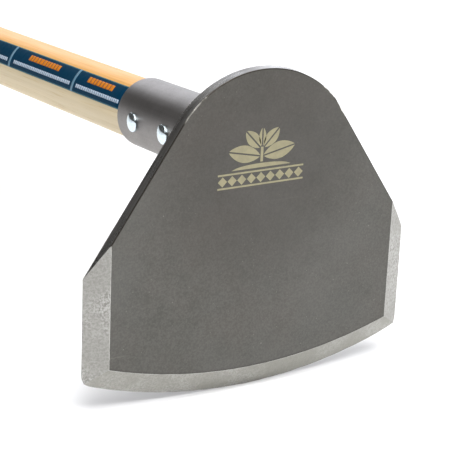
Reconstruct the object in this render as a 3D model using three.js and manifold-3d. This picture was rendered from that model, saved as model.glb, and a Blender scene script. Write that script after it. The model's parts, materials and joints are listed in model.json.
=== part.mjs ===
// Grub hoe: a thick steel blade, a steel socket tube welded to its back, and a
// wooden handle held in the socket by two rivets.
//
// Millimetres, +Z up. The hoe stands on its cutting edge and on the butt of its
// handle. +X runs across the blade and +Y runs along the handle, away from the
// blade. The origin is on the floor, under the middle of the hoe.

import * as THREE from "three";
import { mergeVertices } from "three/addons/utils/BufferGeometryUtils.js";
import Module from "manifold-3d";

const wasm = await Module();
wasm.setup();

// Clearance between two pieces that touch or fit into each other.
const GAP = 0.3;

// Blade: round top, straight flared sides, short upright sides, curved edge.
const BLADE_WIDTH = 186;
const BLADE_HEIGHT = 168;
const BLADE_THICKNESS = 6.6;
const TOP_RADIUS = 55;
const TOP_ARC_HALF_WIDTH = 42;
const CORNER_DROP = 95.5;
const EDGE_RADIUS = 260;
const TOE_ROUND = 5;
const SIDE_BEVEL = 11.8;
const EDGE_BEVEL = 12.4;
const EDGE_LAND = 0.4;

// Socket tube and the weld bead around its foot.
const SOCKET_OUTER_RADIUS = 19.05;
const SOCKET_WALL = 1.65;
const SOCKET_LENGTH = 111;
const SOCKET_DROP = 44.4;
const SOCKET_LIP = 0.5;
const WELD_LEG = 6;
const WELD_TOE = 1;

// Handle, measured from the back of the blade.
const HANDLE_RADIUS = 17.1;
const HANDLE_START = 4;
const HANDLE_END = 1372;
const HANDLE_CHAMFER = 2;
const BUTT_ROUND = 4;

// Rivets, with their distances from the back of the blade.
const RIVET_PLACES = { rivet_front: 59.5, rivet_rear: 93 };
const RIVET_SHANK_RADIUS = 2.5;
const RIVET_HEAD_RADIUS = 5.2;
const RIVET_HEAD_HEIGHT = 1.8;
const RIVET_TAIL_RADIUS = 4.2;
const RIVET_TAIL_FLAT = 3;
const RIVET_TAIL_HEIGHT = 1.8;

// Printed sticker along the upper left side of the handle.
const LABEL_LENGTH = 318;
const LABEL_THICKNESS = 0.25;
const LABEL_OFFSET = 0.5;
const LABEL_FROM = THREE.MathUtils.degToRad(123.6);
const LABEL_TO = THREE.MathUtils.degToRad(170.6);

// Worked out from the dimensions above.
const halfWidth = BLADE_WIDTH / 2;
const topCentre = BLADE_HEIGHT - TOP_RADIUS;
const socketHeight = BLADE_HEIGHT - SOCKET_DROP;
const handleSlope = Math.asin((socketHeight - HANDLE_RADIUS) / (HANDLE_END - BUTT_ROUND));
const labelStart = SOCKET_LENGTH + LABEL_OFFSET;

// How far a cutting shape reaches past what it cuts.
const OVERCUT = 10;

const ROUND_SEGMENTS = 64;
const SMALL_SEGMENTS = 28;
const ARC_POINTS = 8;

const bladeSteel = new THREE.MeshStandardMaterial({
  color: "#6b6761",
  roughness: 0.45,
  metalness: 0.9,
});
const weldSteel = new THREE.MeshStandardMaterial({
  color: "#57544f",
  roughness: 0.6,
  metalness: 0.9,
});
const ashWood = new THREE.MeshStandardMaterial({
  color: "#e6bf85",
  roughness: 0.5,
  metalness: 0,
});
const rivetSteel = new THREE.MeshStandardMaterial({
  color: "#d8dcde",
  roughness: 0.2,
  metalness: 1,
});
const labelVinyl = new THREE.MeshStandardMaterial({
  color: "#0f3a56",
  roughness: 0.4,
  metalness: 0,
});

function toSolid(geometry) {
  const bare = geometry.clone();
  bare.deleteAttribute("normal");
  bare.deleteAttribute("uv");
  const merged = mergeVertices(bare, 1e-4);
  return new wasm.Manifold(new wasm.Mesh({
    numProp: 3,
    vertProperties: new Float32Array(merged.attributes.position.array),
    triVerts: new Uint32Array(merged.index.array),
  }));
}

function toGeometry(solid) {
  const mesh = solid.getMesh();
  const geometry = new THREE.BufferGeometry();
  geometry.setAttribute("position", new THREE.BufferAttribute(mesh.vertProperties, 3));
  geometry.setIndex(new THREE.BufferAttribute(mesh.triVerts, 1));
  geometry.computeVertexNormals();
  return geometry;
}

function piece(name, geometry, material) {
  const mesh = new THREE.Mesh(geometry, material);
  mesh.name = name;
  return mesh;
}

// Points of a circular arc in the plane of a profile, both ends included.
function arcPoints(centreX, centreY, radius, fromAngle, toAngle) {
  const points = [];
  for (let i = 0; i <= ARC_POINTS; i += 1) {
    const angle = fromAngle + ((toAngle - fromAngle) * i) / ARC_POINTS;
    points.push(new THREE.Vector2(
      centreX + radius * Math.cos(angle),
      centreY + radius * Math.sin(angle),
    ));
  }
  return points;
}

// Stands an extrusion upright: its outline in X and Z, its depth towards -Y.
function extrudeUpright(shape, depth, curveSegments) {
  const geometry = new THREE.ExtrudeGeometry(shape, {
    depth,
    curveSegments,
    bevelEnabled: false,
  });
  return geometry.rotateX(Math.PI / 2);
}

// Height of the cutting edge's arc at a distance from the middle.
function edgeHeight(across) {
  return EDGE_RADIUS - Math.sqrt(EDGE_RADIUS ** 2 - across ** 2);
}

function bladeOutline() {
  const toeStart = halfWidth - TOE_ROUND;
  const toeHeight = edgeHeight(halfWidth);
  const edgeAngle = Math.asin(toeStart / EDGE_RADIUS);
  const cornerHeight = BLADE_HEIGHT - CORNER_DROP;
  const topAngle = Math.acos(TOP_ARC_HALF_WIDTH / TOP_RADIUS);
  const down = -Math.PI / 2;

  const shape = new THREE.Shape();
  shape.moveTo(-halfWidth, cornerHeight);
  shape.lineTo(-halfWidth, toeHeight + TOE_ROUND);
  shape.quadraticCurveTo(-halfWidth, toeHeight, -toeStart, edgeHeight(toeStart));
  shape.absarc(0, EDGE_RADIUS, EDGE_RADIUS, down - edgeAngle, down + edgeAngle, false);
  shape.quadraticCurveTo(halfWidth, toeHeight, halfWidth, toeHeight + TOE_ROUND);
  shape.lineTo(halfWidth, cornerHeight);
  shape.absarc(0, topCentre, TOP_RADIUS, topAngle, Math.PI - topAngle, false);
  shape.closePath();
  return shape;
}

// Everything inside the two bevels ground along the upright sides.
function sideBevelEnvelope() {
  const slope = SIDE_BEVEL / (BLADE_THICKNESS - EDGE_LAND);
  const frontHalf = halfWidth - SIDE_BEVEL;
  const backHalf = halfWidth + EDGE_LAND * slope;
  const section = new THREE.Shape([
    new THREE.Vector2(-frontHalf, -BLADE_THICKNESS),
    new THREE.Vector2(frontHalf, -BLADE_THICKNESS),
    new THREE.Vector2(backHalf, 0),
    new THREE.Vector2(-backHalf, 0),
  ]);
  const depth = BLADE_HEIGHT + 2 * OVERCUT;
  const geometry = new THREE.ExtrudeGeometry(section, { depth, bevelEnabled: false });
  return geometry.translate(0, 0, -OVERCUT);
}

// Everything above the bevel ground along the curved edge: the arc of the edge,
// raised by the bevel's height at the front and sheared down to the back.
function edgeBevelEnvelope() {
  const reach = halfWidth + OVERCUT;
  const angle = Math.asin(reach / EDGE_RADIUS);
  const down = -Math.PI / 2;
  const slope = EDGE_BEVEL / (BLADE_THICKNESS - EDGE_LAND);

  const shape = new THREE.Shape();
  shape.moveTo(-reach, 2 * BLADE_HEIGHT);
  shape.absarc(0, EDGE_RADIUS + EDGE_BEVEL, EDGE_RADIUS, down - angle, down + angle, false);
  shape.lineTo(reach, 2 * BLADE_HEIGHT);
  shape.closePath();

  const shear = new THREE.Matrix4().makeShear(0, 0, 0, -slope, 0, 0);
  const geometry = extrudeUpright(shape, BLADE_THICKNESS, 64);
  return geometry.applyMatrix4(shear).translate(0, 0, -slope * BLADE_THICKNESS);
}

function makeBlade() {
  const plate = toSolid(extrudeUpright(bladeOutline(), BLADE_THICKNESS, 48));
  const ground = plate
    .intersect(toSolid(sideBevelEnvelope()))
    .intersect(toSolid(edgeBevelEnvelope()));
  return piece("blade", toGeometry(ground), bladeSteel);
}

// The blade and a clearance behind it, seen from the frame of the tilted socket.
function bladeClearance() {
  const reach = BLADE_WIDTH;
  const box = new THREE.BoxGeometry(reach, reach, reach);
  return toSolid(box.translate(0, GAP - reach / 2, 0).rotateX(handleSlope));
}

// The two holes that the rivets pass through, across the socket.
function cutRivetHoles(solid) {
  let result = solid;
  for (const place of Object.values(RIVET_PLACES)) {
    const hole = new THREE.CylinderGeometry(
      RIVET_SHANK_RADIUS + GAP,
      RIVET_SHANK_RADIUS + GAP,
      4 * SOCKET_OUTER_RADIUS,
      SMALL_SEGMENTS,
    );
    hole.rotateZ(Math.PI / 2).translate(0, place, 0);
    result = result.subtract(toSolid(hole));
  }
  return result;
}

function makeSocketTube() {
  const bore = SOCKET_OUTER_RADIUS - SOCKET_WALL;
  const start = -SOCKET_OUTER_RADIUS;
  const profile = [
    new THREE.Vector2(bore, start),
    new THREE.Vector2(SOCKET_OUTER_RADIUS, start),
    new THREE.Vector2(SOCKET_OUTER_RADIUS, SOCKET_LENGTH - SOCKET_LIP),
    new THREE.Vector2(SOCKET_OUTER_RADIUS - SOCKET_LIP, SOCKET_LENGTH),
    new THREE.Vector2(bore, SOCKET_LENGTH),
    new THREE.Vector2(bore, start),
  ];
  const tube = toSolid(new THREE.LatheGeometry(profile, ROUND_SEGMENTS));
  const mitred = tube.subtract(bladeClearance());
  return piece("socket_tube", toGeometry(cutRivetHoles(mitred)), bladeSteel);
}

// A round bead in the corner between the socket and the back of the blade.
function makeSocketWeld() {
  const inner = SOCKET_OUTER_RADIUS + GAP;
  const start = -WELD_LEG;
  const profile = [
    new THREE.Vector2(inner, start),
    new THREE.Vector2(inner + WELD_LEG, start),
    ...arcPoints(inner, WELD_TOE, WELD_LEG, 0, Math.PI / 2),
    new THREE.Vector2(inner, start),
  ];
  const bead = toSolid(new THREE.LatheGeometry(profile, ROUND_SEGMENTS));
  return piece("socket_weld", toGeometry(bead.subtract(bladeClearance())), weldSteel);
}

function makeHandle() {
  const profile = [
    new THREE.Vector2(0, HANDLE_START),
    new THREE.Vector2(HANDLE_RADIUS - HANDLE_CHAMFER, HANDLE_START),
    new THREE.Vector2(HANDLE_RADIUS, HANDLE_START + HANDLE_CHAMFER),
    ...arcPoints(HANDLE_RADIUS - BUTT_ROUND, HANDLE_END - BUTT_ROUND, BUTT_ROUND, 0, Math.PI / 2),
    new THREE.Vector2(0, HANDLE_END),
  ];
  const stick = toSolid(new THREE.LatheGeometry(profile, ROUND_SEGMENTS));
  return piece("handle", toGeometry(cutRivetHoles(stick)), ashWood);
}

// A rivet along X: domed head on the left of the socket, hammered tail on the right.
function makeRivet(name) {
  const headBase = SOCKET_OUTER_RADIUS + GAP;
  const domeRadius = (RIVET_HEAD_RADIUS ** 2 + RIVET_HEAD_HEIGHT ** 2) / (2 * RIVET_HEAD_HEIGHT);
  const domeAngle = Math.asin(RIVET_HEAD_RADIUS / domeRadius);
  const domeCentre = headBase + RIVET_HEAD_HEIGHT - domeRadius;
  const tailMiddle = -headBase - RIVET_TAIL_HEIGHT / 2;
  const up = Math.PI / 2;
  const profile = [
    new THREE.Vector2(0, -headBase - RIVET_TAIL_HEIGHT),
    new THREE.Vector2(RIVET_TAIL_FLAT, -headBase - RIVET_TAIL_HEIGHT),
    new THREE.Vector2(RIVET_TAIL_RADIUS, tailMiddle),
    new THREE.Vector2(RIVET_TAIL_RADIUS, -headBase),
    new THREE.Vector2(RIVET_SHANK_RADIUS, -headBase),
    new THREE.Vector2(RIVET_SHANK_RADIUS, headBase),
    ...arcPoints(0, domeCentre, domeRadius, up - domeAngle, up),
  ];
  profile[profile.length - 1].x = 0;
  const rivet = new THREE.LatheGeometry(profile, SMALL_SEGMENTS);
  const mesh = piece(name, toGeometry(toSolid(rivet)), rivetSteel);
  mesh.rotation.z = Math.PI / 2;
  mesh.position.y = RIVET_PLACES[name];
  return mesh;
}

function makeHandleLabel() {
  const inner = HANDLE_RADIUS + GAP;
  const shape = new THREE.Shape();
  shape.absarc(0, 0, inner + LABEL_THICKNESS, LABEL_FROM, LABEL_TO, false);
  shape.absarc(0, 0, inner, LABEL_TO, LABEL_FROM, true);
  shape.closePath();
  const strip = extrudeUpright(shape, LABEL_LENGTH, ARC_POINTS);
  return piece("handle_label", strip.translate(0, labelStart + LABEL_LENGTH, 0), labelVinyl);
}

// Everything in line with the handle, which slopes down from the blade to its butt.
const handleGroup = new THREE.Group();
handleGroup.position.z = socketHeight;
handleGroup.rotation.x = -handleSlope;
handleGroup.add(makeSocketTube(), makeSocketWeld(), makeHandle(), makeHandleLabel());
for (const name of Object.keys(RIVET_PLACES)) {
  handleGroup.add(makeRivet(name));
}

const hoe = new THREE.Group();
hoe.add(makeBlade(), handleGroup);

const extent = new THREE.Box3().setFromObject(hoe, true);
hoe.position.y = -extent.getCenter(new THREE.Vector3()).y;

export default hoe;
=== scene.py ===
"""The looks of a grub hoe: steel blade and socket, two rivets, an ash handle and its sticker.

Everything is in metres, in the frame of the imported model: +X runs across the blade, +Y along
the handle away from the blade, +Z up. Pieces on the handle are made in the handle's own frame:
Y runs along its axis from the back of the blade, and X and Z run across it.
"""

import json
from itertools import pairwise
from math import acos, asin, atan2, ceil, cos, floor, hypot, pi, radians, sin, sqrt, tan
import random

import bmesh
import bpy
from mathutils import Matrix, Vector, noise


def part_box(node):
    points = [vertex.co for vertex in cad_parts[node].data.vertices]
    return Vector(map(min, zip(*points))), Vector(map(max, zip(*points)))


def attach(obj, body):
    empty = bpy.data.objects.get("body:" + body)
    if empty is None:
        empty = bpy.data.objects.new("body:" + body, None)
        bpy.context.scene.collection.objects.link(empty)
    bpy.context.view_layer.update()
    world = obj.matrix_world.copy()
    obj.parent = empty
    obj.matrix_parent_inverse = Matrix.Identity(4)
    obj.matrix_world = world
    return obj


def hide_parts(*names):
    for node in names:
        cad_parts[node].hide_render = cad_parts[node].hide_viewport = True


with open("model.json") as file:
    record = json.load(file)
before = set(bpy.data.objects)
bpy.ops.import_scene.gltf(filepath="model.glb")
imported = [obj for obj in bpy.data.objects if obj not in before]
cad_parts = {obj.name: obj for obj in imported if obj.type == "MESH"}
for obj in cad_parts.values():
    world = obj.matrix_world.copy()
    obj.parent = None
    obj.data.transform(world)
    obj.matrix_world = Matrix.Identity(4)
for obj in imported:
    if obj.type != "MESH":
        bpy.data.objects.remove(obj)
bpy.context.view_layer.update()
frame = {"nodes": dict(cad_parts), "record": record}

MM = 0.001
BODY = "root"

# ---------------------------------------------------------------- what the frame says

blade_low, blade_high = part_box("blade")
blade_front = blade_low.y
blade_back = blade_high.y
blade_height = blade_high.z - blade_low.z
blade_thickness = blade_back - blade_front
half_width = blade_high.x

butt = next(m for m in frame["record"]["mounts"] if m["name"] == "handle_butt")
handle_axis = Vector(butt["axis"]).normalized()
handle_length = (butt["pos_m"][1] - blade_back) / handle_axis.y
handle_foot = Vector(butt["pos_m"]) - handle_length * handle_axis
handle_slope = asin(-handle_axis.z)
handle_frame = Matrix.Translation(handle_foot) @ Matrix.Rotation(-handle_slope, 4, "X")


def width_radius(node):
    """Half the width of a round CAD node that lies along the handle."""
    low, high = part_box(node)
    return (high.x - low.x) / 2


def in_handle_frame(node):
    """The points of a CAD node's mesh, in the handle's own frame."""
    to_handle = handle_frame.inverted()
    return [to_handle @ v.co for v in frame["nodes"][node].data.vertices]


handle_radius = width_radius("handle")
handle_start = min(p.y for p in in_handle_frame("handle"))
socket_radius = width_radius("socket_tube")
socket_end = max(p.y for p in in_handle_frame("socket_tube"))
weld_reach = width_radius("socket_weld") - socket_radius
label_points = in_handle_frame("handle_label")
label_start = min(p.y for p in label_points)
label_end = max(p.y for p in label_points)
label_angles = [atan2(p.z, p.x) for p in label_points]
label_from, label_to = min(label_angles), max(label_angles)

# ---------------------------------------------------------------- camera

# The heading is taken from +Y towards +X. The aim is a point on the front of the blade, at a
# height above its lowest point. The lens and the sensor are in millimetres.
VIEW_HEADING = radians(31.2)
VIEW_PITCH = radians(-19.55)
VIEW_ROLL = radians(-2.46)
VIEW_DISTANCE = 0.870
AIM_ACROSS = -0.0193
AIM_HEIGHT = 0.0912
FOCAL_LENGTH = 142.4
SENSOR_WIDTH = 36
CLIP_END = 50


def make_camera():
    """Looks at the aim from the heading, pitch and distance above."""
    heading = Vector((sin(VIEW_HEADING), cos(VIEW_HEADING), 0))
    forward = heading * cos(VIEW_PITCH) + Vector((0, 0, sin(VIEW_PITCH)))
    level = forward.cross(Vector((0, 0, 1))).normalized()
    level_up = level.cross(forward)
    up = level_up * cos(VIEW_ROLL) + level * sin(VIEW_ROLL)
    right = forward.cross(up)
    aim = Vector((AIM_ACROSS, blade_front, blade_low.z + AIM_HEIGHT))

    camera = bpy.data.objects.new("camera", bpy.data.cameras.new("camera"))
    rotation = Matrix((right, up, -forward)).transposed().to_4x4()
    camera.matrix_world = Matrix.Translation(aim - VIEW_DISTANCE * forward) @ rotation
    camera.data.lens = FOCAL_LENGTH
    camera.data.sensor_width = SENSOR_WIDTH
    camera.data.clip_end = CLIP_END
    bpy.context.scene.collection.objects.link(camera)
    bpy.context.scene.camera = camera


make_camera()

# ---------------------------------------------------------------- dimensions of the plate

TOP_RADIUS = 55 * MM
TOP_ARC_HALF_WIDTH = 42 * MM
CORNER_DROP = 95.5 * MM
EDGE_RADIUS = 260 * MM
TOE_ROUND = 5 * MM
SIDE_BEVEL = 11.8 * MM
EDGE_BEVEL = 12.4 * MM
EDGE_LAND = 0.4 * MM

# The radius of the rim's corners, the depth of the bright line where the grinding starts, the
# depth at which it ends, and how far in front of that the toes of the edge start to be round.
CORNER_ROUND = 0.5 * MM
BURR_DEPTH = 0.12 * MM
ground_depth = blade_thickness - EDGE_LAND
TOE_DEPTH = 0.5 * MM

# A painted shade darkens the upper plate, for the darker surroundings that it reflects. It is
# strongest within a core and fades out to a radius from the handle.
TOP_SHADE_RADIUS = 85 * MM
TOP_SHADE_CORE = TOP_SHADE_RADIUS / 3
TOP_SHADE_STRENGTH = 0.5

# A dark line fades in over this width above the ground edge, and is full close to it.
DARK_LINE_WIDTH = 1.4 * MM
DARK_LINE_FULL = 0.2 * MM
DARK_LINE_STRENGTH = 0.4

# The corner of the rim is rubbed bright between two heights, and this fades out within them.
RUBBED_FROM = blade_high.z - 33 * MM
RUBBED_TO = blade_high.z - 6 * MM
RUBBED_FADE_LOW = 8 * MM
RUBBED_FADE_HIGH = 4 * MM

# ---------------------------------------------------------------- materials

COAT_ROUGHNESS = 0.12
INK_SPECULAR = 0.05

# The wood turns from sapwood to heartwood between two heights above the handle's axis, which
# wander along it over a range. The centre of the growth rings lies outside the stick.
HEART_FROM = 4 * MM
HEART_TO = 11 * MM
HEART_WANDER = 12 * MM
PITH_SHIFT = (45 * MM, 0, 30 * MM)


def rgb(text):
    """A colour written as sRGB hex, in the linear values that shaders take."""
    values = [int(text[i:i + 2], 16) / 255 for i in (0, 2, 4)]
    linear = [v / 12.92 if v <= 0.04045 else ((v + 0.055) / 1.055) ** 2.4 for v in values]
    return (*linear, 1.0)


class Surface:
    """A procedural material, with short ways to add the nodes used here."""

    def __init__(self, name, metallic=0.0, roughness=0.5, coat=0.0):
        self.material = bpy.data.materials.new(name)
        self.material.use_nodes = True
        self.nodes = self.material.node_tree.nodes
        self.links = self.material.node_tree.links
        self.shader = self.nodes["Principled BSDF"]
        self.shader.inputs["Metallic"].default_value = metallic
        self.shader.inputs["Roughness"].default_value = roughness
        self.shader.inputs["Coat Weight"].default_value = coat
        self.shader.inputs["Coat Roughness"].default_value = COAT_ROUGHNESS
        self.spot = self.nodes.new("ShaderNodeTexCoord").outputs["Object"]
        self.height = None

    def feed(self, socket, value):
        """Sets an input to a value, or links an output to it."""
        if isinstance(value, bpy.types.NodeSocket):
            self.links.new(value, socket)
        else:
            socket.default_value = value

    def put(self, node, name, value):
        """Feeds the input of a node that has this name."""
        self.feed(node.inputs[name], value)

    def stretched(self, scale, move=(0, 0, 0), turn=(0, 0, 0)):
        """Object coordinates scaled by a factor for each axis, then turned, then moved."""
        node = self.nodes.new("ShaderNodeMapping")
        self.put(node, "Vector", self.spot)
        node.inputs["Scale"].default_value = scale
        node.inputs["Location"].default_value = move
        node.inputs["Rotation"].default_value = turn
        return node.outputs["Vector"]

    def noise(self, scale, detail=3.0, roughness=0.5, distortion=0.0, at=None):
        """Cloudy noise from 0 to 1. Its scale is per metre, or per unit of the coordinates in
        at."""
        node = self.nodes.new("ShaderNodeTexNoise")
        self.put(node, "Vector", at or self.spot)
        self.put(node, "Scale", scale)
        self.put(node, "Detail", detail)
        self.put(node, "Roughness", roughness)
        self.put(node, "Distortion", distortion)
        return node.outputs["Fac"]

    def rings(self, scale, distortion, at):
        """Growth rings about the Y axis."""
        node = self.nodes.new("ShaderNodeTexWave")
        node.wave_type = "RINGS"
        node.rings_direction = "Y"
        node.wave_profile = "SAW"
        self.put(node, "Vector", at)
        self.put(node, "Scale", scale)
        self.put(node, "Distortion", distortion)
        self.put(node, "Detail", 2.0)
        self.put(node, "Detail Scale", 0.6)
        return node.outputs["Fac"]

    def spread(self, value, low, high, out_low=0.0, out_high=1.0):
        """A value taken from one range to another, clamped, with a smooth step."""
        node = self.nodes.new("ShaderNodeMapRange")
        node.interpolation_type = "SMOOTHSTEP"
        self.put(node, "Value", value)
        self.put(node, "From Min", low)
        self.put(node, "From Max", high)
        self.put(node, "To Min", out_low)
        self.put(node, "To Max", out_high)
        return node.outputs["Result"]

    def math(self, operation, a, b):
        """The result of an arithmetic operation on two values."""
        node = self.nodes.new("ShaderNodeMath")
        node.operation = operation
        for socket, value in zip(node.inputs, (a, b)):
            self.feed(socket, value)
        return node.outputs["Value"]

    def times(self, a, b):
        """The product of two values, such as a pattern at part of its strength."""
        return self.math("MULTIPLY", a, b)

    def distance(self, at):
        """The distance of a place from the origin of its coordinates."""
        node = self.nodes.new("ShaderNodeVectorMath")
        node.operation = "LENGTH"
        self.put(node, "Vector", at)
        return node.outputs["Value"]

    def axis(self, name):
        """One of the object coordinates: X, Y or Z."""
        node = self.nodes.new("ShaderNodeSeparateXYZ")
        self.put(node, "Vector", self.spot)
        return node.outputs[name]

    def mix(self, factor, a, b):
        """A colour between a, at factor 0, and b, at factor 1."""
        node = self.nodes.new("ShaderNodeMix")
        node.data_type = "RGBA"
        self.put(node, "Factor", factor)
        inputs = [s for s in node.inputs if s.type == "RGBA"]
        for socket, value in zip(inputs, (a, b)):
            self.feed(socket, value)
        return next(s for s in node.outputs if s.type == "RGBA")

    def colour(self, value):
        self.put(self.shader, "Base Color", value)

    def roughen(self, value):
        self.put(self.shader, "Roughness", value)

    def bump(self, height, depth, strength):
        """Adds relief: height 0 to 1 stands for depth in metres."""
        node = self.nodes.new("ShaderNodeBump")
        node.inputs["Strength"].default_value = strength
        node.inputs["Distance"].default_value = depth
        self.put(node, "Height", height)
        if self.height:
            self.links.new(self.height, node.inputs["Normal"])
        self.height = node.outputs["Normal"]
        self.links.new(self.height, self.shader.inputs["Normal"])


def painted_top_shade(s):
    """How strongly the painted shade darkens the upper plate at each place, for the darker
    surroundings that it reflects.
    """
    from_shade_centre = s.distance(s.stretched((1, 0, 1), move=(0, 0, -handle_foot.z)))
    return s.spread(from_shade_centre, TOP_SHADE_CORE, TOP_SHADE_RADIUS, TOP_SHADE_STRENGTH, 0.0)


def dark_line(s):
    """A thin line on the front of the plate, along the arc where the ground edge begins."""
    arc_height = blade_low.z + EDGE_RADIUS + EDGE_BEVEL
    from_centre = s.distance(s.stretched((1, 0, 1), move=(0, 0, -arc_height)))
    line = s.spread(from_centre, EDGE_RADIUS - DARK_LINE_WIDTH, EDGE_RADIUS - DARK_LINE_FULL)
    at_front = s.spread(s.axis("Y"), blade_front, blade_back, DARK_LINE_STRENGTH, 0.0)
    return s.times(line, at_front)


def plate_steel():
    """Dark satin rolled plate: cloudy and finely grained, with pale specks, faint scratches and a
    broad painted light patch over the middle and right of its face.
    It has painted shade over its upper part, for the darker surroundings that it reflects, and a
    thin dark line where the grinding of the edge begins."""
    s = Surface("plate_steel", metallic=0.35, roughness=0.5)
    clouds = s.spread(s.noise(38, detail=4, roughness=0.6), 0.35, 0.65)
    grain = s.spread(s.noise(1100, detail=2, roughness=0.6), 0.3, 0.7)
    # Painted light: a broad lighter patch. Its noise is moved so that the lighter part lies over
    # the middle and right of the face, where more light falls.
    light_patch_place = s.stretched((1, 1, 1), move=(20 * MM, 0, 50 * MM))
    painted_light_patch = s.spread(s.noise(13, detail=2, at=light_patch_place), 0.36, 0.64)
    tone = s.mix(clouds, rgb("4e4d48"), rgb("53504b"))
    tone = s.mix(s.times(painted_light_patch, 0.5), tone, rgb("5d5d5a"))
    tone = s.mix(s.times(grain, 0.5), tone, rgb("686661"))
    specks = s.spread(s.noise(900, detail=1, roughness=0.3), 0.74, 0.8)
    tone = s.mix(s.times(specks, 0.4), tone, rgb("a7a59c"))
    slanted = s.stretched((14, 60, 900), turn=(0, radians(28), 0))
    scratches = s.spread(s.noise(1, detail=2, at=slanted), 0.7, 0.78)
    tone = s.mix(s.times(scratches, 0.12), tone, rgb("a39d94"))
    # Painted shade: the upper plate is darkened for the darker surroundings that it reflects.
    tone = s.mix(painted_top_shade(s), tone, rgb("413d38"))
    s.colour(s.mix(dark_line(s), tone, rgb("3a3632")))
    s.roughen(s.spread(s.noise(120, detail=4, roughness=0.6), 0.3, 0.7, 0.44, 0.58))
    s.bump(grain, 0.04 * MM, 0.5)
    return s.material


def rim_steel():
    """The sheared rim of the plate, with drag lines that follow the outline."""
    s = Surface("rim_steel", metallic=0.9, roughness=0.3)
    lines = s.noise(1, detail=2, roughness=0.6, at=s.stretched((30, 1600, 30)))
    patches = s.spread(s.noise(90, detail=3, roughness=0.6), 0.35, 0.65)
    tone = s.mix(s.spread(lines, 0.35, 0.65), rgb("787775"), rgb("9a9998"))
    s.colour(s.mix(s.times(patches, 0.4), tone, rgb("605c57")))
    s.roughen(s.spread(patches, 0, 1, 0.24, 0.38))
    s.bump(lines, 0.1 * MM, 0.5)
    return s.material


def worn_steel():
    """The rounded corner of the rim: dark, but rubbed bright in places near the top."""
    s = Surface("worn_steel", metallic=0.9, roughness=0.3)
    height = s.axis("Z")
    above = s.spread(height, RUBBED_FROM, RUBBED_FROM + RUBBED_FADE_LOW)
    below = s.spread(height, RUBBED_TO - RUBBED_FADE_HIGH, RUBBED_TO, 1.0, 0.0)
    patches = s.spread(s.noise(40, detail=4, roughness=0.65), 0.45, 0.6)
    rubbed = s.times(patches, s.times(above, below))
    s.colour(s.mix(rubbed, rgb("3f3b36"), rgb("d9d6cd")))
    s.roughen(s.spread(rubbed, 0, 1, 0.45, 0.25))
    return s.material


def ground_steel(name, stretch, low, high, mottling):
    """A ground bevel, cloudy between two colours. stretch sets the run of its grinding marks,
    and mottling the least and the most strength of its fine mottle."""
    s = Surface(name, metallic=0.85, roughness=0.4)
    lines = s.spread(s.noise(1, detail=3, roughness=0.65, at=s.stretched(stretch)), 0.3, 0.7)
    clouds = s.spread(s.noise(45, detail=4, roughness=0.6), 0.38, 0.62)
    mottle = s.spread(s.noise(850, detail=5, roughness=0.7, distortion=0.3), 0.4, 0.62)
    tone = s.mix(clouds, rgb(low), rgb(high))
    tone = s.mix(s.times(lines, 0.2), tone, rgb("85837e"))
    amount = s.spread(clouds, 0, 1, *mottling)
    s.colour(s.mix(s.times(mottle, amount), tone, rgb("75736d")))
    s.roughen(s.spread(clouds, 0, 1, 0.46, 0.36))
    s.bump(lines, 0.04 * MM, 0.5)
    s.bump(mottle, 0.03 * MM, 0.5)
    return s.material


def burr_steel():
    """The thin bright line where grinding meets the dark plate."""
    s = Surface("burr_steel", metallic=0.9, roughness=0.32)
    broken = s.spread(s.noise(160, detail=3, roughness=0.6), 0.35, 0.6)
    s.colour(s.mix(broken, rgb("9c9b96"), rgb("c6c5c0")))
    s.roughen(s.spread(broken, 0, 1, 0.4, 0.28))
    return s.material


def socket_steel():
    """Drawn steel tube: satin, with very faint draw lines along it."""
    s = Surface("socket_steel", metallic=1.0, roughness=0.32)
    lines = s.noise(1, detail=2, roughness=0.6, at=s.stretched((900, 9, 900)))
    clouds = s.spread(s.noise(55, detail=4, roughness=0.6), 0.35, 0.65)
    grain = s.noise(1400, detail=2)
    tone = s.mix(clouds, rgb("7b7876"), rgb("84817f"))
    s.colour(s.mix(s.times(s.spread(lines, 0.4, 0.7), 0.15), tone, rgb("696664")))
    s.roughen(s.spread(grain, 0.3, 0.7, 0.41, 0.49))
    s.bump(grain, 0.01 * MM, 0.4)
    return s.material


def weld_steel():
    """Welded metal: dull grey with brown and blue heat tints."""
    s = Surface("weld_steel", metallic=0.8, roughness=0.48)
    tint = s.noise(110, detail=4, roughness=0.6)
    tone = s.mix(s.spread(tint, 0.35, 0.5), rgb("5d5650"), rgb("6e6459"))
    s.colour(s.mix(s.spread(tint, 0.52, 0.7), tone, rgb("596472")))
    s.roughen(s.spread(s.noise(600, detail=3), 0.3, 0.7, 0.38, 0.6))
    s.bump(s.noise(900, detail=3, roughness=0.6), 0.12 * MM, 0.5)
    return s.material


def heartwood(s):
    """How far the wood is heartwood at each place, from 0 to 1."""
    wander = s.noise(1, detail=2, at=s.stretched((25, 2.5, 25)))
    shift = s.times(s.math("SUBTRACT", wander, 0.5), HEART_WANDER)
    return s.spread(s.math("ADD", s.axis("Z"), shift), HEART_FROM, HEART_TO)


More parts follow.
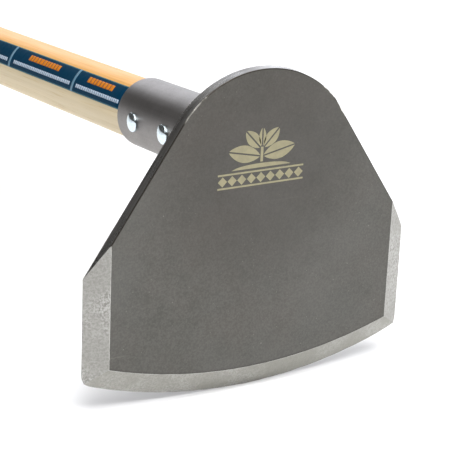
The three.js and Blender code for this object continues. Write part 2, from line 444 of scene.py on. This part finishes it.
def ash_wood():
    """Varnished ash: growth rings, long pores, warm heartwood above and pale sapwood below."""
    s = Surface("ash_wood", metallic=0.0, roughness=0.45, coat=0.08)
    from_pith = s.stretched((1, 0.045, 1), move=PITH_SHIFT)
    rings = s.rings(scale=118, distortion=1.6, at=from_pith)
    heart = heartwood(s)
    early = s.mix(heart, rgb("cab995"), rgb("ca8f2d"))
    late = s.mix(heart, rgb("c0ae87"), rgb("bd8226"))
    tone = s.mix(s.spread(rings, 0.3, 0.95, 0.0, 0.45), early, late)
    pores = s.noise(1, detail=3, roughness=0.6, at=s.stretched((1500, 28, 1500)))
    dark_pores = s.times(s.spread(pores, 0.58, 0.7), s.spread(rings, 0.35, 0.9, 0.25, 0.7))
    tone = s.mix(dark_pores, tone, rgb("a5814d"))
    along = s.stretched((120, 3, 120))
    streaks = s.spread(s.noise(1, detail=3, roughness=0.6, at=along), 0.35, 0.7)
    s.colour(s.mix(s.times(streaks, 0.15), tone, rgb("dfc690")))
    s.roughen(s.spread(pores, 0.4, 0.7, 0.4, 0.55))
    s.bump(pores, 0.06 * MM, 0.4)
    s.bump(rings, 0.03 * MM, 0.3)
    return s.material


def rivet_zinc():
    """Bright and slightly blue zinc plate, smooth with a few fine marks."""
    s = Surface("rivet_zinc", metallic=1.0, roughness=0.14)
    marks = s.noise(900, detail=3, roughness=0.6)
    s.colour(s.mix(s.spread(marks, 0.4, 0.7), rgb("d5e1e6"), rgb("c3d0d6")))
    s.roughen(s.spread(marks, 0.35, 0.7, 0.1, 0.2))
    s.bump(s.noise(180, detail=2), 0.01 * MM, 0.3)
    return s.material


def printed(name, text, scuff="ffffff", wear=0.06, roughness=0.5):
    """Printed ink or vinyl in one colour, slightly scuffed and uneven."""
    s = Surface(name, metallic=0.0, roughness=roughness)
    s.shader.inputs["Specular IOR Level"].default_value = INK_SPECULAR
    uneven = s.spread(s.noise(300, detail=4, roughness=0.6), 0.35, 0.7)
    s.colour(s.mix(s.times(uneven, wear), rgb(text), rgb(scuff)))
    s.roughen(s.spread(uneven, 0, 1, roughness - 0.06, roughness + 0.08))
    s.bump(s.noise(140, detail=2), 0.06 * MM, 0.3)
    return s.material


def floor_white():
    """Plain pale floor."""
    s = Surface("floor_white", roughness=0.85)
    s.colour(rgb("f6f6f7"))
    return s.material


# ---------------------------------------------------------------- mesh helpers


def place(name, mesh, materials, matrix=None, sharp=30):
    """Puts a mesh in the scene as a piece of the hoe, smooth except at its sharp edges."""
    for material in materials:
        mesh.materials.append(material)
    mesh.polygons.foreach_set("use_smooth", [True] * len(mesh.polygons))
    mesh.set_sharp_from_angle(angle=radians(sharp))
    piece = bpy.data.objects.new(name, mesh)
    bpy.context.scene.collection.objects.link(piece)
    piece.matrix_world = matrix or Matrix.Identity(4)
    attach(piece, BODY)
    return piece


def mesh_from(name, bm):
    """Turns a bmesh into a mesh whose faces all point outwards."""
    bmesh.ops.recalc_face_normals(bm, faces=bm.faces)
    mesh = bpy.data.meshes.new(name)
    bm.to_mesh(mesh)
    bm.free()
    return mesh


def turned(bm, profile, segments, adjust, closed=False):
    """Adds a surface turned about Y. The profile holds (radius, along) pairs, and radius 0
    makes a pole. adjust may move a point before it is added."""
    rings = []
    for radius, along in profile:
        if radius == 0:
            rings.append([bm.verts.new((0, along, 0))] * segments)
            continue
        ring = []
        for i in range(segments):
            angle = 2 * pi * i / segments
            point = Vector((radius * cos(angle), along, radius * sin(angle)))
            ring.append(bm.verts.new(adjust(point)))
        rings.append(ring)
    pairs = list(zip(rings, rings[1:]))
    if closed:
        pairs.append((rings[-1], rings[0]))
    for low, high in pairs:
        for i in range(segments):
            j = (i + 1) % segments
            corners = list(dict.fromkeys((low[i], high[i], high[j], low[j])))
            bm.faces.new(corners)


def arc(centre, radius, start, end, steps):
    """Points of a circular arc in a profile, angles in degrees, both ends included."""
    points = []
    for i in range(steps + 1):
        angle = radians(start + (end - start) * i / steps)
        points.append((centre[0] + radius * cos(angle), centre[1] + radius * sin(angle)))
    return points


def blade_back_at(height):
    """Where the back of the blade is along the handle, at a height above the handle's axis."""
    return -height * tan(handle_slope)


# ---------------------------------------------------------------- blade

MERGE_DISTANCE = 0.001 * MM
TOP_STEPS = 40
TOE_STEPS = 8
EDGE_STEPS = 120
ROUND_STEPS = 5

# Wear of the cutting edge is read from noise as waves and nicks, each with a scale and a layer
# of its own. Nicks are only where the noise is over a level, and go deeper.
EDGE_WEAR = 0.3 * MM
WAVE_SCALE = 0.16 / MM
WAVE_LAYER = 2.5
NICK_SCALE = 0.45 / MM
NICK_LAYER = 7.1
NICK_LEVEL = 0.35
NICK_DEPTH = 1.5

top_centre = blade_height - TOP_RADIUS
top_angle = acos(TOP_ARC_HALF_WIDTH / TOP_RADIUS)


def edge_height(across):
    """Height of the cutting edge's arc at a distance from the middle."""
    return EDGE_RADIUS - sqrt(EDGE_RADIUS ** 2 - across ** 2)


def rim_inset(depth):
    """How far the rounded corners of the rim pull the outline in at a depth from the front."""
    from_corner = min(depth, blade_thickness - depth)
    if from_corner >= CORNER_ROUND:
        return 0
    return CORNER_ROUND - sqrt(CORNER_ROUND ** 2 - (CORNER_ROUND - from_corner) ** 2)


def top_arc(inset):
    """The round top, from its middle to where the straight flare starts."""
    radius = TOP_RADIUS - inset
    points = []
    for i in range(TOP_STEPS + 1):
        angle = pi / 2 + (top_angle - pi / 2) * i / TOP_STEPS
        points.append((radius * cos(angle), top_centre + radius * sin(angle)))
    return points


def shoulder_point(half, inset):
    """Where the flare meets the upright side, in an outline of this half width."""
    run = half_width - TOP_ARC_HALF_WIDTH
    corner_height = blade_height - CORNER_DROP
    fall = top_centre + TOP_RADIUS * sin(top_angle) - corner_height
    height = corner_height + (half_width - half) * fall / run
    return half, height - inset * hypot(run, fall) / run


def toe_curve(start, corner, end):
    """The rounded toe between side and edge, a quadratic curve pulled towards the corner."""
    points = []
    for i in range(TOE_STEPS + 1):
        t = i / TOE_STEPS
        weighted = (((1 - t) ** 2, start), (2 * t * (1 - t), corner), (t ** 2, end))
        points.append(tuple(sum(weight * point[k] for weight, point in weighted) for k in (0, 1)))
    return points


def edge_curve(half, lift):
    """The arc of the cutting edge from the toe to the middle, raised by the bevel's lift."""
    points = []
    for i in range(EDGE_STEPS + 1):
        across = half * (1 - i / EDGE_STEPS)
        points.append((across, edge_height(across) + lift))
    return points


def right_half(depth):
    """The right half of the plate's outline at a depth from the front, from the top down: named
    stretches of (across, height) points, each starting where the one before it ends."""
    ground = min(depth / ground_depth, 1)
    half = half_width - SIDE_BEVEL * (1 - ground)
    lift = EDGE_BEVEL * (1 - ground)
    toe = TOE_ROUND * min(max(1 + (depth - ground_depth) / TOE_DEPTH, 0), 1)
    inset = rim_inset(depth)

    top = top_arc(inset)
    shoulder = shoulder_point(half, inset)
    side_foot = (half, edge_height(half) + lift + toe)
    corner = (half, edge_height(half) + lift)
    toe_end = (half - toe, edge_height(half - toe) + lift)
    return {
        "top": top,
        "flare": [top[-1], shoulder],
        "side": [shoulder, side_foot],
        "toe": toe_curve(side_foot, corner, toe_end),
        "edge": edge_curve(half - toe, lift),
    }


def plate_outline(depth):
    """The whole outline of the plate at a depth, and the name of the stretch after each point."""
    points, kinds = [], []
    for kind, stretch in right_half(depth).items():
        points += stretch[:-1]
        kinds += [kind] * (len(stretch) - 1)
        lowest = stretch[-1]
    left = [(-x, z) for x, z in reversed(points[1:])]
    return points + [lowest] + left, kinds + kinds[::-1]


def wear_edge(point):
    """Pulls a point of the ground outline in by a hair, towards the middle of the plate."""
    x, z = point
    wave = noise.noise(Vector((WAVE_SCALE * x, WAVE_SCALE * z, WAVE_LAYER)))
    nick = noise.noise(Vector((NICK_SCALE * x, NICK_SCALE * z, NICK_LAYER))) - NICK_LEVEL
    wear = EDGE_WEAR * (max(0, wave) + NICK_DEPTH * max(0, nick))
    inwards = Vector((-x, EDGE_RADIUS / 3 - z)).normalized()
    return x + wear * inwards.x, z + wear * inwards.y


UNGROUND = {"top", "flare"}


def worn_outline(depth):
    """The outline at a depth, worn where its ground stretches have come to their thin edge."""
    points, kinds = plate_outline(depth)
    if depth >= ground_depth:
        for i, point in enumerate(points):
            if not UNGROUND & {kinds[i], kinds[i - 1]}:
                points[i] = wear_edge(point)
    return points, kinds


def blade_depths():
    """The depths at which the outline of the plate changes its course."""
    quarter = [CORNER_ROUND * (1 - cos(pi / 2 * i / ROUND_STEPS)) for i in range(ROUND_STEPS + 1)]
    back = [blade_thickness - d for d in quarter]
    return sorted({*quarter, BURR_DEPTH, ground_depth - TOE_DEPTH, ground_depth, *back})


PLATE, RIM, GROUND_EDGE, GROUND_SIDE, WORN, BURR = range(6)


def blade_material(kind, start, end):
    """Which surface a stretch of the plate's rim shows between two depths. The corner is taken
    a hair deeper than it is, so that a depth at its end is still in it."""
    if kind in UNGROUND:
        corner = 1.01 * CORNER_ROUND
        return WORN if end <= corner or start >= blade_thickness - corner else RIM
    if start >= ground_depth:
        return RIM
    if end <= BURR_DEPTH:
        return BURR
    return GROUND_EDGE if kind == "edge" else GROUND_SIDE


def blade_materials():
    """The surfaces of the plate, in the order of their numbers above."""
    return [
        plate_steel(),
        rim_steel(),
        ground_steel("ground_edge", (1500, 60, 60), "98978f", "a9a8a2", (0.2, 0.5)),
        ground_steel("ground_side", (60, 60, 1500), "a3a29d", "b6b5b1", (0.4, 0.85)),
        worn_steel(),
        burr_steel(),
    ]


def make_blade():
    """The plate as a stack of outlines: ground along its sides and edge, its corners rounded."""
    bm = bmesh.new()
    loops = []
    depths = blade_depths()
    for depth in depths:
        points, kinds = worn_outline(depth)
        y = blade_front + depth
        loops.append([bm.verts.new((x, y, blade_low.z + z)) for x, z in points])
    for (start, front), (end, back) in pairwise(zip(depths, loops)):
        for i, kind in enumerate(kinds):
            j = (i + 1) % len(kinds)
            face = bm.faces.new((front[i], front[j], back[j], back[i]))
            face.material_index = blade_material(kind, start, end)
    for loop in (loops[0], loops[-1]):
        face = bm.faces.new(loop)
        face.material_index = PLATE
    bmesh.ops.remove_doubles(bm, verts=bm.verts, dist=MERGE_DISTANCE)
    mesh = mesh_from("blade_plate", bm)
    blade = place("blade_plate", mesh, blade_materials(), sharp=22)
    flat = blade.modifiers.new("flat_faces", "WEIGHTED_NORMAL")
    flat.keep_sharp = True
    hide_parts("blade")


# ---------------------------------------------------------------- mark on the blade

# The drop is from the top of the blade to the foot of the mark.
MARK_THICKNESS = 0.05 * MM
MARK_STEPS = 14
MARK_WIDTH = 49 * MM
MARK_DROP = 58.5 * MM
MARK_BAND = 7.8 * MM
MARK_RULE = 0.9 * MM
MARK_LOZENGES = 9
LOZENGE_MARGIN = 0.4 * MM
LOZENGE_HALF_SHARE = 0.47

# The mound of earth over the band, with half widths of its flat foot and of its round top,
# and the stem that rises over it.
MOUND_LIFT = 1.2 * MM
MOUND_FOOT_HALF = 17 * MM
MOUND_TOP_HALF = 16 * MM
MOUND_HEIGHT = 2.2 * MM
STEM_LIFT = 2.9 * MM
STEM_WIDTH = 1.5 * MM
STEM_HEIGHT = 7.5 * MM

# Each pair of leaves: length, width, angle above level in degrees, and height up the stem.
LEAF_PAIRS = ((18 * MM, 8 * MM, 12, 3 * MM), (12 * MM, 5.8 * MM, 47, 7.4 * MM))
LEAF_STALK = 1.1 * MM
LEAF_FULLNESS = 0.8
MIDRIB_GAP = 0.8 * MM
MIDRIB_ENDS = (0.93, 0.07)
BUD_LENGTH = 9 * MM
BUD_WIDTH = 3.2 * MM
BUD_STALK = 0.6 * MM


def half_leaf(length, width):
    """One side of a pointed leaf, from its stalk at the origin to its tip along +X, with a gap
    left along its midrib."""
    outline = []
    for i in range(MARK_STEPS + 1):
        t = i / MARK_STEPS
        outline.append((length * t, MIDRIB_GAP / 2 + width / 2 * sin(pi * t) ** LEAF_FULLNESS))
    return outline + [(length * share, MIDRIB_GAP / 2) for share in MIDRIB_ENDS]


def moved(outline, turn, shift, flip_x=1, flip_y=1):
    """An outline mirrored along Y, turned by degrees, shifted, and mirrored along X."""
    c, s = cos(radians(turn)), sin(radians(turn))
    points = [(x, flip_y * y) for x, y in outline]
    return [(flip_x * (x * c - y * s + shift[0]), x * s + y * c + shift[1]) for x, y in points]


def bar_outline(width, height):
    """An upright rectangle centred on the origin."""
    w, h = width / 2, height / 2
    return [(-w, -h), (w, -h), (w, h), (-w, h)]


def mark_band():
    """A band of lozenges between two rules, at the foot of the mark."""
    middle = -MARK_DROP + MARK_BAND / 2
    outlines = []
    for side in (-1, 1):
        height = middle + side * (MARK_BAND - MARK_RULE) / 2
        outlines.append(moved(bar_outline(MARK_WIDTH, MARK_RULE), 0, (0, height)))
    pitch = MARK_WIDTH / MARK_LOZENGES
    half = LOZENGE_HALF_SHARE * pitch
    tall = MARK_BAND / 2 - MARK_RULE - LOZENGE_MARGIN
    lozenge = [(-half, 0), (0, -tall), (half, 0), (0, tall)]
    for i in range(MARK_LOZENGES):
        across = (i - (MARK_LOZENGES - 1) / 2) * pitch
        outlines.append(moved(lozenge, 0, (across, middle)))
    return outlines


def mark_mound(soil):
    """A low mound with a flat foot at the height of the soil."""
    mound = [(MOUND_FOOT_HALF, soil), (-MOUND_FOOT_HALF, soil)]
    for i in range(1, MARK_STEPS):
        angle = pi - pi * i / MARK_STEPS
        mound.append((MOUND_TOP_HALF * cos(angle), soil + MOUND_HEIGHT * sin(angle)))
    return mound


def mark_sprout():
    """A seedling with four leaves and a bud over a low mound of earth."""
    soil = -MARK_DROP + MARK_BAND + MOUND_LIFT
    stem_foot = soil + STEM_LIFT
    stem = bar_outline(STEM_WIDTH, STEM_HEIGHT)
    outlines = [mark_mound(soil), moved(stem, 0, (0, stem_foot + STEM_HEIGHT / 2))]
    for length, width, turn, height in LEAF_PAIRS:
        leaf = half_leaf(length, width)
        for flip_x in (-1, 1):
            for flip_y in (-1, 1):
                outlines.append(moved(leaf, turn, (LEAF_STALK, stem_foot + height), flip_x, flip_y))
    bud = half_leaf(BUD_LENGTH, BUD_WIDTH)
    bud_foot = stem_foot + STEM_HEIGHT + BUD_STALK
    for flip_y in (-1, 1):
        outlines.append(moved(bud, 90, (0, bud_foot), 1, flip_y))
    return outlines


def make_blade_mark():
    """A generic mark printed on the front of the blade, in a layer of ink."""
    bm = bmesh.new()
    ink_front = blade_front - MARK_THICKNESS
    for outline in mark_band() + mark_sprout():
        front = [bm.verts.new((x, ink_front, blade_high.z + z)) for x, z in outline]
        back = [bm.verts.new((x, blade_front, blade_high.z + z)) for x, z in outline]
        bm.faces.new(front)
        bm.faces.new(list(reversed(back)))
        for i in range(len(front)):
            j = (i + 1) % len(front)
            bm.faces.new((front[j], front[i], back[i], back[j]))
    ink = printed("mark_ink", "9c967a", scuff="827e6c", wear=0.4, roughness=0.55)
    place("blade_mark", mesh_from("blade_mark", bm), [ink])


# ---------------------------------------------------------------- socket

SOCKET_WALL = 1.65 * MM
SOCKET_STEPS = 128
RIM_LIP = 0.55 * MM
RIM_LIP_STEPS = 4
BORE_LIP = 0.35 * MM
BORE_LIP_STEPS = 3
MITRE_REACH = 0.05 * MM


def mitre_socket(point):
    """Moves a point at the foot of the tube along it, onto the back of the blade."""
    if point.y < MITRE_REACH:
        return Vector((point.x, blade_back_at(point.z), point.z))
    return point


def make_socket():
    """The tube, mitred onto the blade, with a deburred rim."""
    bore = socket_radius - SOCKET_WALL
    rim_centre = (socket_radius - RIM_LIP, socket_end - RIM_LIP)
    rim = arc(rim_centre, RIM_LIP, 0, 90, RIM_LIP_STEPS)
    bore_centre = (bore + BORE_LIP, socket_end - BORE_LIP)
    inside = arc(bore_centre, BORE_LIP, 90, 180, BORE_LIP_STEPS)
    profile = [(bore, 0), (socket_radius, 0), *rim, *inside]

    bm = bmesh.new()
    turned(bm, profile, SOCKET_STEPS, mitre_socket, closed=True)
    mesh = mesh_from("socket", bm)
    socket = place("socket", mesh, [socket_steel()], handle_frame)
    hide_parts("socket_tube")


# ---------------------------------------------------------------- weld

WELD_RIPPLES = 46
RIPPLE_STEPS = 8
WELD_STEPS = 10
WELD_SEED = 7

# How much shorter the bead's leg is than the CAD bead reaches, which leaves room for ripples,
# and how deep its root lies under the outside of the tube.
WELD_MARGIN = 0.4 * MM
WELD_ROOT = 0.2 * MM

# How far each ripple trails in the middle of the bead, in ripples, and as shares of the bead's
# leg how hollow the bead is, how high a ripple stands and how much ripples differ.
RIPPLE_LAG = 0.35
WELD_HOLLOW = 0.22
RIPPLE_HEIGHT = 0.07
RIPPLE_CHANGE = 0.02


def weld_profile(step, changes):
    """The bead's section at one step round the socket, as (radius, along) pairs: its rippled
    face, from the tube to the blade, and its root under the tube's outside."""
    leg = weld_reach - WELD_MARGIN
    profile = []
    for k in range(WELD_STEPS + 1):
        turn = pi / 2 * k / WELD_STEPS
        middle = sin(2 * turn)
        phase = step / RIPPLE_STEPS - RIPPLE_LAG * middle
        crest = sqrt(max(0.0, 1 - (2 * (phase % 1) - 1) ** 2))
        change = RIPPLE_CHANGE * changes[floor(phase) % WELD_RIPPLES]
        size = leg * (1 - WELD_HOLLOW * middle + RIPPLE_HEIGHT * crest * middle + change)
        profile.append((socket_radius + size * sin(turn), size * cos(turn)))
    return profile + [(socket_radius - WELD_ROOT, 0)]


def make_weld():
    """The fillet bead, with the overlapping ripples of a weld laid in one pass."""
    rng = random.Random(WELD_SEED)
    changes = [rng.uniform(-1, 1) for _ in range(WELD_RIPPLES)]
    steps_round = RIPPLE_STEPS * WELD_RIPPLES

    bm = bmesh.new()
    rings = []
    for i in range(steps_round):
        angle = 2 * pi * i / steps_round
        ring = []
        for radius, along in weld_profile(i, changes):
            x, z = radius * cos(angle), radius * sin(angle)
            ring.append(bm.verts.new((x, along + blade_back_at(z), z)))
        rings.append(ring)
    for ring, after in zip(rings, rings[1:] + rings[:1]):
        for k in range(len(ring)):
            m = (k + 1) % len(ring)
            bm.faces.new((ring[k], ring[m], after[m], after[k]))
    mesh = mesh_from("weld_bead", bm)
    weld = place("weld_bead", mesh, [weld_steel()], handle_frame, sharp=60)
    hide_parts("socket_weld")


# ---------------------------------------------------------------- handle

FRONT_CHAMFER = 2 * MM
BUTT_ROUND = 4 * MM
BUTT_STEPS = 6
HANDLE_STEPS = 180
HANDLE_TURN_STEPS = 96
HANDLE_UNEVENNESS = 0.12 * MM

# Slow waves of its surface: radians to the metre along it, and waves round it.
HANDLE_WAVES = ((9, 2), (23, -3))


def uneven_stick(point):
    """Takes a hair off the stick outside the socket, in slow waves along and round it."""
    if point.y < socket_end:
        return point
    angle = atan2(point.z, point.x)
    wave = sum(sin(along * point.y + turns * angle) for along, turns in HANDLE_WAVES)
    scale = 1 - HANDLE_UNEVENNESS * (1 + wave / 2) / handle_radius
    return Vector((point.x * scale, point.y, point.z * scale))


def make_handle():
    """The ash stick: very slightly uneven along its length, rounded at the butt."""
    straight = handle_start + FRONT_CHAMFER
    shoulder = handle_length - BUTT_ROUND
    profile = [(0, handle_start), (handle_radius - FRONT_CHAMFER, handle_start)]
    for i in range(HANDLE_STEPS):
        profile.append((handle_radius, straight + (shoulder - straight) * i / HANDLE_STEPS))
    profile += arc((handle_radius - BUTT_ROUND, shoulder), BUTT_ROUND, 0, 90, BUTT_STEPS)
    profile.append((0, handle_length))

    bm = bmesh.new()
    turned(bm, profile, HANDLE_TURN_STEPS, uneven_stick)
    mesh = mesh_from("stick", bm)
    stick = place("stick", mesh, [ash_wood()], handle_frame, sharp=50)
    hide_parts("handle")


# ---------------------------------------------------------------- rivets

# The head and the tail each stand on a level just off the tube, and a skirt below that level
# follows the tube's round outside. Above the head's skirt are a collar, which is a level ring,
# the top of the upright brim, and the dome.
RIVET_RADIUS = 5.2 * MM
RIVET_HEIGHT = 1.8 * MM
RIVET_BRIM = 0.35 * MM
RIVET_COLLAR = 0.21 * MM
RIVET_LIFT = 0.15 * MM
RIVET_SKIRT = 0.1 * MM
RIVET_STEPS = 48

# The dome's section is a quarter of a superellipse, more pointed than a circle.
DOME_EXPONENT = 1.6
DOME_STEPS = 24

# The shank, and how far its ends stay inside the tube's outside.
SHANK_RADIUS = 2.5 * MM
SHANK_INSIDE = 0.6 * MM

# The hammered tail. Its face is given as shares of its radius with drops from its top, its
# brim as a height over the level, and its foot as a share of its radius.
TAIL_RADIUS = 4.2 * MM
TAIL_HEIGHT = 1.8 * MM
TAIL_BRIM = 0.45 * MM
TAIL_FACE = ((0, 0), (0.45, 0.05 * MM), (0.72, 0.25 * MM), (0.93, 0.8 * MM))
TAIL_FOOT = 0.98

rivet_base = socket_radius + RIVET_LIFT


def rivet_head():
    """The head's profile: a skirt on the tube, a low brim and a dome."""
    brim_top = rivet_base + RIVET_BRIM
    head = [(RIVET_RADIUS, rivet_base + level) for level in (-RIVET_SKIRT, RIVET_COLLAR)]
    for i in range(DOME_STEPS):
        share = cos(pi / 2 * i / DOME_STEPS)
        rise = (1 - share ** DOME_EXPONENT) ** (1 / DOME_EXPONENT)
        head.append((RIVET_RADIUS * share, brim_top + RIVET_HEIGHT * rise))
    return head + [(0, brim_top + RIVET_HEIGHT)]


def rivet_tail():
    """The tail's profile: a face hammered almost flat, a round shoulder and a skirt."""
    top = -(rivet_base + TAIL_HEIGHT)
    tail = [(share * TAIL_RADIUS, top + drop) for share, drop in TAIL_FACE]
    brim = (TAIL_RADIUS, -rivet_base - TAIL_BRIM)
    foot = (TAIL_FOOT * TAIL_RADIUS, RIVET_SKIRT - rivet_base)
    return tail + [brim, foot]


def sit_on_socket(point):
    """Drops a point of a rivet's skirt onto the round outside of the tube."""
    on_shank = hypot(point.x, point.z) < (SHANK_RADIUS + TAIL_RADIUS) / 2
    if on_shank or abs(point.y) >= rivet_base:
        return point
    reach = sqrt(socket_radius ** 2 - point.z ** 2)
    return Vector((point.x, reach if point.y > 0 else -reach, point.z))


def make_rivet(node):
    """Domed head on the left, hammered tail on the right. Made along Y and turned across the
    socket, so that the head faces -X."""
    low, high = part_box(node)
    centre = handle_frame.inverted() @ ((low + high) / 2)
    shank_end = rivet_base - SHANK_INSIDE
    shank = [(SHANK_RADIUS, -shank_end), (SHANK_RADIUS, shank_end)]

    bm = bmesh.new()
    turned(bm, rivet_tail() + shank + rivet_head(), RIVET_STEPS, sit_on_socket)
    across = Matrix.Translation((0, centre.y, 0)) @ Matrix.Rotation(pi / 2, 4, "Z")
    name = node + "_zinc"
    mesh = mesh_from(name, bm)
    rivet = place(name, mesh, [rivet_zinc()], handle_frame @ across, sharp=40)
    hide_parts(node)


# ---------------------------------------------------------------- sticker

STICKER_THICKNESS = 0.03 * MM
STICKER_SEED = 11

# How far the navy vinyl and what is printed on it stand above the even surface of the stick.
NAVY_LIFT = 0.12 * MM
PRINT_LIFT = 0.16 * MM
DIVIDER_LIFT = 0.2 * MM

# Along the handle: the pale bands between cells, and the rows of blocks in each cell.
FIRST_DIVIDER = 172.2 * MM
CELL_LENGTH = 86.8 * MM
LEAST_CELL = 10 * MM
DIVIDER_WIDTH = 2.6 * MM
HEADING_LENGTHS = (42 * MM, 30 * MM)
HEADING_BLOCK = 3.3 * MM
CAPTION_BLOCK = 2.0 * MM
CAPTION_MARGIN = 4 * MM
BLOCK_GAP = 0.45 * MM
BLOCK_WIDTHS = (0.75, 1.2)

# Round the handle, in shares of the sticker's width from its upper edge down.
WHOLE_WIDTH = (0, 1)
BORDERS = ((0, 0.045), (0.955, 1))
HEADING_ROW = (0.17, 0.43)
CAPTION_ROW = (0.64, 0.79)

PATCH_LENGTH = 8 * MM
PATCH_ANGLE = radians(3)
NAVY, BORDER, ORANGE, PALE, DIVIDER = range(5)


def patch(bm, start, end, shares, lift, material):
    """Adds a curved rectangle from start to end along the handle, over a part of the sticker's
    width."""
    radius = handle_radius + lift
    low, high = (label_from + (label_to - label_from) * share for share in shares)
    columns = max(1, ceil((end - start) / PATCH_LENGTH))
    rows = max(2, ceil((high - low) / PATCH_ANGLE))
    angles = [low + (high - low) * k / rows for k in range(rows + 1)]
    grid = []
    for i in range(columns + 1):
        y = start + (end - start) * i / columns
        grid.append([bm.verts.new((radius * cos(a), y, radius * sin(a))) for a in angles])
    for i in range(columns):
        for k in range(rows):
            face = bm.faces.new((grid[i][k], grid[i][k + 1], grid[i + 1][k + 1], grid[i + 1][k]))
            face.material_index = material


def print_row(bm, start, end, shares, block, material, rng):
    """A row of small blocks that stands in for a printed line, from start to end."""
    along = start
    while along < end - block / 2:
        width = block * rng.uniform(*BLOCK_WIDTHS)
        patch(bm, along, along + width, shares, PRINT_LIFT, material)
        along += width + BLOCK_GAP


def print_cell(bm, start, end, rng):
    """One cell of the sticker: an orange row of blocks over a longer and finer pale row."""
    middle = (start + end) / 2
    half = rng.choice(HEADING_LENGTHS) / 2
    print_row(bm, middle - half, middle + half, HEADING_ROW, HEADING_BLOCK, ORANGE, rng)
    first, last = start + CAPTION_MARGIN, end - CAPTION_MARGIN
    print_row(bm, first, last, CAPTION_ROW, CAPTION_BLOCK, PALE, rng)


def divider_places():
    """Where the middles of the pale bands lie along the handle."""
    places = []
    divider = FIRST_DIVIDER
    while divider < label_end - LEAST_CELL:
        places.append(divider)
        divider += CELL_LENGTH
    return places


def make_label():
    """The long printed sticker: a navy strip with two borders and cells divided by pale bands."""
    rng = random.Random(STICKER_SEED)
    dividers = divider_places()

    bm = bmesh.new()
    patch(bm, label_start, label_end, WHOLE_WIDTH, NAVY_LIFT, NAVY)
    for shares in BORDERS:
        patch(bm, label_start, label_end, shares, PRINT_LIFT, BORDER)
    for middle in dividers:
        first, last = middle - DIVIDER_WIDTH / 2, middle + DIVIDER_WIDTH / 2
        patch(bm, first, last, WHOLE_WIDTH, DIVIDER_LIFT, DIVIDER)
    for start, end in pairwise([label_start, *dividers, label_end]):
        print_cell(bm, start, end, rng)
    materials = [
        printed("label_navy", "002c43", wear=0.003),
        printed("label_border", "285a66"),
        printed("label_orange", "bd701e", scuff="d89a4e"),
        printed("label_pale", "a3b2c3"),
        printed("label_divider", "56788c"),
    ]
    label = place("sticker", mesh_from("sticker", bm), materials, handle_frame)
    thickness = label.modifiers.new("thickness", "SOLIDIFY")
    thickness.thickness = STICKER_THICKNESS
    thickness.offset = -1
    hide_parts("handle_label")


# ---------------------------------------------------------------- floor and light

FLOOR_REACH = 40
COOL_WHITE = (0.97, 0.98, 1.0)
PALE_BLUE = (0.96, 0.98, 1.0)
WINDOW_BLUE = (0.92, 0.94, 1.0)
ROOM_COLOUR = (1.0, 0.96, 0.92, 1.0)
ROOM_STRENGTH = 0.1


def make_floor():
    """A plain floor that reaches far past the hoe on every side."""
    mesh = bpy.data.meshes.new("floor")
    signs = ((-1, -1), (1, -1), (1, 1), (-1, 1))
    corners = [(x * FLOOR_REACH, y * FLOOR_REACH, 0) for x, y in signs]
    mesh.from_pydata(corners, [], [(0, 1, 2, 3)])
    mesh.materials.append(floor_white())
    ground = bpy.data.objects.new("floor", mesh)
    bpy.context.scene.collection.objects.link(ground)


def softbox(name, heading, elevation, distance, size, power, colour=(1, 1, 1)):
    """A soft rectangular light that faces the middle of the blade. Its heading is in degrees
    from +Y towards +X, its elevation in degrees above level, and its power in watts."""
    aim = Vector((0, blade_front, blade_height / 2))
    level = Vector((sin(radians(heading)), cos(radians(heading)), 0))
    outwards = level * cos(radians(elevation)) + Vector((0, 0, sin(radians(elevation))))
    light = bpy.data.lights.new(name, "AREA")
    light.shape = "RECTANGLE"
    light.size, light.size_y = size
    light.energy = power
    light.color = colour
    lamp = bpy.data.objects.new(name, light)
    lamp.location = aim + distance * outwards
    lamp.rotation_euler = (-outwards).to_track_quat("-Z", "Y").to_euler()
    bpy.context.scene.collection.objects.link(lamp)


def make_lights():
    """A plain studio: one light in front, a large one overhead, and weaker ones behind the
    blade and on either side."""
    softbox("front", heading=190, elevation=64, distance=2.5, size=(1.7, 1.7), power=72)
    softbox("overhead", heading=0, elevation=88, distance=6.0, size=(6.5, 6.5), power=270,
            colour=COOL_WHITE)
    softbox("window_behind", heading=27, elevation=18, distance=3.0, size=(2.4, 1.6), power=30,
            colour=WINDOW_BLUE)
    softbox("window_edge", heading=-4, elevation=38, distance=3.0, size=(1.2, 0.9), power=1.8)
    softbox("strip_left", heading=-88, elevation=30, distance=2.5, size=(0.5, 1.5), power=4)
    softbox("reflector_right", heading=100, elevation=12, distance=1.8, size=(1.4, 0.8), power=13,
            colour=PALE_BLUE)


def make_room():
    """The faint even light of the room, and colours shown as they are."""
    world = bpy.data.worlds.new("studio")
    world.use_nodes = True
    background = world.node_tree.nodes["Background"]
    background.inputs["Color"].default_value = ROOM_COLOUR
    background.inputs["Strength"].default_value = ROOM_STRENGTH
    bpy.context.scene.world = world
    bpy.context.scene.view_settings.view_transform = "Standard"


make_blade()
make_blade_mark()
make_socket()
make_weld()
make_handle()
for rivet_node in ("rivet_front", "rivet_rear"):
    make_rivet(rivet_node)
make_label()
make_floor()
make_lights()
make_room()
